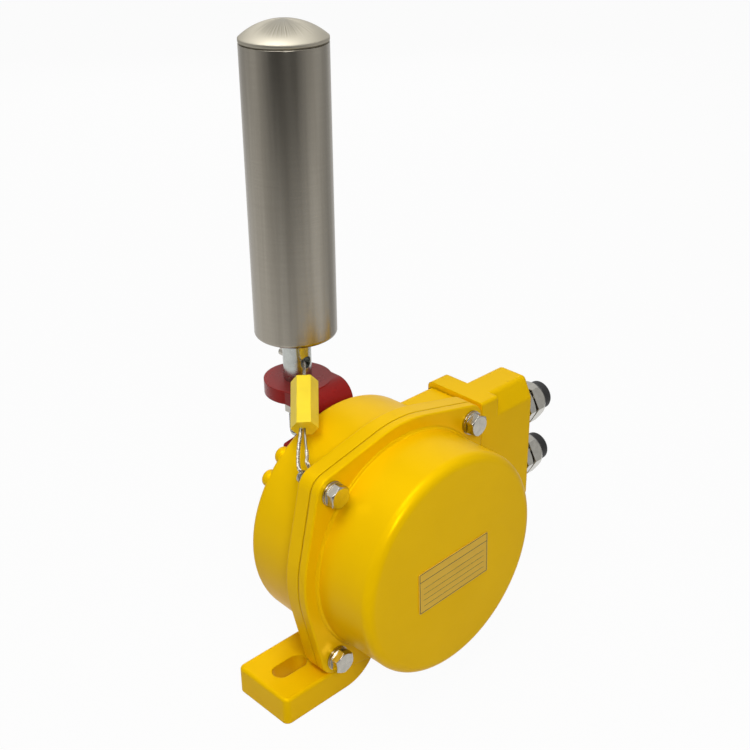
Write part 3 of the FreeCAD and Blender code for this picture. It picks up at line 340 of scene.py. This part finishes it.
def spline_points(points, order=3, resolution=24):
    """Points read from one smooth curve through the route's control points."""
    data = bpy.data.curves.new("route", "CURVE")
    data.dimensions = "3D"
    spline = data.splines.new("NURBS")
    spline.points.add(len(points) - 1)
    for target, p in zip(spline.points, points):
        target.co = (*p, 1)
    spline.order_u = order
    spline.use_endpoint_u = True
    spline.resolution_u = resolution
    obj = bpy.data.objects.new("route", data)
    bpy.context.scene.collection.objects.link(obj)
    graph = bpy.context.evaluated_depsgraph_get()
    baked = bpy.data.meshes.new_from_object(obj.evaluated_get(graph))
    line = [v.co.copy() for v in baked.vertices]
    bpy.data.objects.remove(obj)
    bpy.data.curves.remove(data)
    bpy.data.meshes.remove(baked)
    return line


def route_frames(line):
    """Each point of a line with two directions across it, which don't twist, and the way run so far."""
    frames = []
    side = None
    travelled = 0.0
    for i, p in enumerate(line):
        ahead = line[min(i + 1, len(line) - 1)] - line[max(i - 1, 0)]
        ahead.normalize()
        side = ahead.orthogonal() if side is None else side - ahead * side.dot(ahead)
        side.normalize()
        if i:
            travelled += (p - line[i - 1]).length
        frames.append((p, side.copy(), ahead.cross(side), travelled))
    return frames


def wire_rope(name, points, radius, lay, material, strands=4):
    """Twisted strands that follow a smooth route, joined in one mesh. One strand is a smooth wire."""
    frames = route_frames(spline_points(points))
    thin, ring = (radius * 0.46, 6) if strands > 1 else (radius, 12)
    orbit = radius - thin
    verts = []
    faces = []
    for k in range(strands):
        base = len(verts)
        for p, a, b, run in frames:
            angle = 2 * math.pi * (k / strands + run / lay)
            out = a * math.cos(angle) + b * math.sin(angle)
            across = b * math.cos(angle) - a * math.sin(angle)
            for j in range(ring):
                t = 2 * math.pi * j / ring
                verts.append(p + out * (orbit + thin * math.cos(t)) + across * (thin * math.sin(t)))
        for i in range(len(frames) - 1):
            for j in range(ring):
                a0 = base + i * ring + j
                a1 = base + i * ring + (j + 1) % ring
                faces.append((a0, a1, a1 + ring, a0 + ring))
    return mesh_piece(name, verts, faces, material, None)


# Threads on what can be seen: the bolt tails, apart from the upper right one, and the rod's stud
hidden_tail = (bolt_x, axis_z + bolt_x)
tail_places = [(sx * bolt_x, axis_z + sz * bolt_x) for sx in (-1, 1) for sz in (-1, 1)]
for i, (x, z) in enumerate(tail_places):
    if (x, z) != hidden_tail:
        thread("bolt_thread_%d" % i, (x, bolt_tail_y[0], z), (x, bolt_tail_y[1], z), bolt_radius,
               bolt_pitch, thread_steel, "housing")
stud_shoulder = 0.0018
stud_low, stud_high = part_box("roller_rod")[0][2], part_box("rod_nut")[0][2]
thread("rod_thread", (0, rod_y, stud_low + stud_shoulder), (0, rod_y, stud_high), stud_radius,
       stud_pitch, thread_steel, "lever")

# Wire seal: a loop of rope and a pin to the bolt's drilled tail, and a strand through the rod
loop_y = -0.0004
bolt_tail = Vector((-bolt_x, loop_y, axis_z + bolt_x))
seal_start = Vector((0.0151, 0.0164, 0.01245))
seal_run = Vector((0.0150, 0.0165, 0.01275))
seal_low = bolt_tail + seal_start
seal_high = seal_low + seal_run
seal_axis = (seal_high - seal_low).normalized()
rope_radius, strand_radius, pin_radius = 0.0009, 0.0008, 0.00055
rope_lay = 0.0048
seal_depth = 0.004
loop_route = [
    seal_low + leftward * 0.0014 + seal_axis * seal_depth,
    seal_low + leftward * 0.0014,
    seal_low.lerp(bolt_tail, 0.45) + leftward * 0.0028,
    bolt_tail + Vector((-0.0025, 0.0008, 0.0055)),
    bolt_tail + Vector((-0.0012, 0.0003, 0.0030)),
    bolt_tail + Vector((-0.0012, 0.0001, -0.0030)),
    bolt_tail + Vector((-0.0010, 0.0002, -0.0052)),
    bolt_tail + Vector((0.0028, 0.0009, -0.0052)),
    bolt_tail + Vector((0.0054, 0.0012, -0.0014)),
    bolt_tail + Vector((0.0042, 0.0014, 0.0032)),
    bolt_tail + Vector((0.0034, 0.0022, 0.0060)),
    seal_low.lerp(bolt_tail, 0.6) - leftward * 0.0015,
    seal_low.lerp(bolt_tail, 0.45) - leftward * 0.0010,
]
pin_route = [
    seal_low + seal_axis * seal_depth,
    seal_low,
    seal_low.lerp(bolt_tail, 0.3) - leftward * 0.0005,
    seal_low.lerp(bolt_tail, 0.53) - leftward * 0.0011,
]
loop = wire_rope("loop_rope", loop_route, rope_radius, rope_lay, rope)
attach(loop, "housing")
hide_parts("seal_loop")
pin = wire_rope("loop_pin", pin_route, pin_radius, rope_lay, pin_steel, 1)
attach(pin, "housing")

ferrule_radius = 0.002
hole_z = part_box("seal_ferrule")[0][2] + ferrule_radius
ferrule_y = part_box("seal_ferrule")[0][1]
rod_front = Vector((0, rod_y - rod_radius + 0.001, hole_z))
strand_route = [
    seal_high - seal_axis * 0.003,
    seal_high,
    seal_high.lerp(rod_front, 0.5) + leftward * 0.0003,
    rod_front + leftward * 0.0004,
    rod_front + Vector((0, 0.003, 0)),
    Vector((0, rod_y, hole_z)),
    Vector((0, ferrule_y + 0.001, hole_z)),
]
strand = wire_rope("strand_rope", strand_route, strand_radius, rope_lay, rope)
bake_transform(strand)
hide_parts("seal_strand")

# Border, head line and blank rows on the bare plate
low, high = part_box("name_plate")
plate_centre = Vector(((low[0] + high[0]) / 2, low[1], (low[2] + high[2]) / 2))
plate_tilt = math.radians(1.7)
plate_turn = Matrix.Rotation(-plate_tilt, 3, "Y")
half_w, half_h = 0.0224, 0.0106
line_root, line_top = 0.0001, -0.00004
row_count = 4


def plate_line(name, u0, v0, u1, v1, width=0.00028):
    """A thin raised line on the plate between two points, in plate coordinates."""
    a = Vector((u0, 0, v0))
    b = Vector((u1, 0, v1))
    out = (b - a).normalized().cross(Vector((0, 1, 0))) * width / 2
    verts = []
    for y in (line_root, line_top):
        for p in (a - out, a + out, b + out, b - out):
            verts.append(plate_centre + plate_turn @ (p + Vector((0, y, 0))))
    faces = [(4, 5, 6, 7), (0, 4, 7, 3), (1, 2, 6, 5), (0, 1, 5, 4), (3, 7, 6, 2)]
    return mesh_piece(name, verts, faces, line_ink, "housing", False)


plate_line("plate_border_top", -half_w, half_h, half_w, half_h)
plate_line("plate_border_bottom", -half_w, -half_h, half_w, -half_h)
plate_line("plate_border_left", -half_w, -half_h, -half_w, half_h)
plate_line("plate_border_right", half_w, -half_h, half_w, half_h)
plate_line("plate_head_line", -half_w, half_h * 0.6, half_w, half_h * 0.6)
for i in range(row_count):
    row = half_h * (0.2 - 0.3 * i)
    plate_line("plate_row_%d" % i, -half_w * 0.9, row, half_w * 0.9, row, 0.00016)

# Camera at the photograph's place, solved from the photograph
azimuth, elevation, roll = (math.radians(a) for a in (-43.83, 26.41, 0.65))
camera_place = (-0.33659, -0.34852, 0.39074)
focal_pixels, picture_pixels = 1194.76, 750
sensor_width = 36
level_reach = math.cos(elevation)
forward = Vector((-math.sin(azimuth) * level_reach, math.cos(azimuth) * level_reach, -math.sin(elevation)))
flat_right = Vector((math.cos(azimuth), math.sin(azimuth), 0))
flat_down = forward.cross(flat_right)
right = flat_right * math.cos(roll) + flat_down * math.sin(roll)
down = flat_down * math.cos(roll) - flat_right * math.sin(roll)
camera_data = bpy.data.cameras.new("camera")
camera_data.sensor_width = sensor_width
camera_data.lens = focal_pixels / picture_pixels * sensor_width
camera_data.shift_x = 0.00345
camera_data.shift_y = -0.00748
camera_data.clip_start = 0.01
camera = bpy.data.objects.new("camera", camera_data)
bpy.context.scene.collection.objects.link(camera)
camera_turn = Matrix((right, -down, -forward)).transposed().to_4x4()
camera.matrix_world = Matrix.Translation(camera_place) @ camera_turn
bpy.context.scene.camera = camera


def bare_tree(owner):
    """The owner's own node tree, emptied."""
    owner.use_nodes = True
    owner.node_tree.nodes.clear()
    return Nodes(owner.node_tree)


def white_floor(size=4, height=-0.0002, grey=0.55, glow_share=0.96):
    """Plain floor that shows white to the camera and to reflections, and keeps a soft shadow."""
    material = bpy.data.materials.new("floor")
    n = bare_tree(material)
    glow = n.add("ShaderNodeEmission", {"Color": (1, 1, 1), "Strength": 1.0}).outputs[0]
    matt = n.add("ShaderNodeBsdfDiffuse", {"Color": (grey, grey, grey)}).outputs[0]
    share = n.calc("MULTIPLY", n.seen_ray(), glow_share)
    blend = n.add("ShaderNodeMixShader", {0: share, 1: matt, 2: glow}).outputs[0]
    n.add("ShaderNodeOutputMaterial", {"Surface": blend})
    corners = [(-size, -size, height), (size, -size, height), (size, size, height), (-size, size, height)]
    return mesh_piece("floor", corners, [(0, 1, 2, 3)], material, None)


def white_room(light=0.19):
    """World that gives a soft warm light and shows white to the camera and to reflections."""
    world = bpy.data.worlds.new("studio")
    n = bare_tree(world)
    soft = n.add("ShaderNodeBackground", {"Color": (1, 0.99, 0.97), "Strength": light}).outputs[0]
    white = n.add("ShaderNodeBackground", {"Color": (1, 1, 1), "Strength": 1.0}).outputs[0]
    blend = n.add("ShaderNodeMixShader", {0: n.seen_ray(), 1: soft, 2: white}).outputs[0]
    n.add("ShaderNodeOutputWorld", {"Surface": blend})
    return world


floor = white_floor()
bpy.context.scene.world = white_room()


def lamp(name, place, target, size, energy, glossy=True):
    """A square area lamp. Reflections don't show one that isn't glossy."""
    data = bpy.data.lights.new(name, "AREA")
    data.shape = "SQUARE"
    data.size = size
    data.energy = energy
    obj = bpy.data.objects.new(name, data)
    bpy.context.scene.collection.objects.link(obj)
    obj.location = place
    obj.rotation_euler = (Vector(target) - Vector(place)).to_track_quat("-Z", "Y").to_euler()
    obj.visible_glossy = glossy


lamp("overhead", (-0.3, 0.0, 1.2), (0, 0, 0.1), size=0.7, energy=7.2)
lamp("key", (-0.27, -0.43, 0.45), (-0.02, 0, 0.09), size=0.16, energy=1.4)
lamp("back_fill", (0.75, 0.95, 0.6), (0, 0.03, 0.1), size=0.9, energy=4.5, glossy=False)

# Brightness of the grey card, near the roller and far from it, in pairs of place and grey. The places
# run round the roller from behind, past the camera's left, the camera's side at 0.5 and its right.
near_card = [(0.0, 0.9), (0.15, 0.9), (0.29, 1.0), (0.38, 0.85), (0.5, 0.65), (0.62, 0.8), (0.71, 1.0),
             (0.82, 0.5), (1.0, 0.9)]
far_card = [(0.0, 0.9), (0.15, 0.55), (0.29, 0.66), (0.36, 0.33), (0.42, 0.04), (0.58, 0.04), (0.64, 0.33),
            (0.71, 0.66), (0.85, 0.5), (1.0, 0.9)]
near_reach, far_reach = 0.36, 1.2
card_sides = 48
card_rings = ((0.3, 0), (1.5, 0), (2.4, 0.3), (3.2, 1.5), (3.6, 3.0))
card_height = 0.0005


def card_grey():
    material = bpy.data.materials.new("grey_card")
    n = bare_tree(material)
    place = n.add("ShaderNodeTexCoord").outputs["Object"]
    split = n.add("ShaderNodeSeparateXYZ", {0: place}).outputs
    turned = n.remap(n.bearing(split["X"], split["Y"]), 0, 1, -math.pi, math.pi)
    depth = n.remap(n.distance(place), 0, 1, near_reach, far_reach)
    grey = n.mix(depth, n.grey_ramp(turned, near_card), n.grey_ramp(turned, far_card))
    shine = n.add("ShaderNodeEmission", {"Color": grey}).outputs[0]
    n.add("ShaderNodeOutputMaterial", {"Surface": shine})
    return material


def grey_card():
    """A flat bowl round the roller, one ring of corners after the other."""
    verts = []
    faces = []
    for ring, (radius, height) in enumerate(card_rings):
        for k in range(card_sides):
            angle = 2 * math.pi * k / card_sides
            verts.append((radius * math.cos(angle), radius * math.sin(angle), height))
            if ring:
                inner, outer = card_sides * (ring - 1), card_sides * ring
                beside = (k + 1) % card_sides
                faces.append((inner + k, inner + beside, outer + beside, outer + k))
    return mesh_piece("card", verts, faces, card_grey(), None)


# Only reflections see the card. It is darkest far off on the camera's side, so that the upright tube
# has the dark middle and the dim edges of the photograph.
card = grey_card()
card.location = (0, rod_y, card_height)
card.rotation_euler = (0, 0, math.atan2(camera_side.y, camera_side.x))
card.visible_camera = card.visible_diffuse = card.visible_shadow = False

bpy.context.scene.view_settings.view_transform = "Standard"
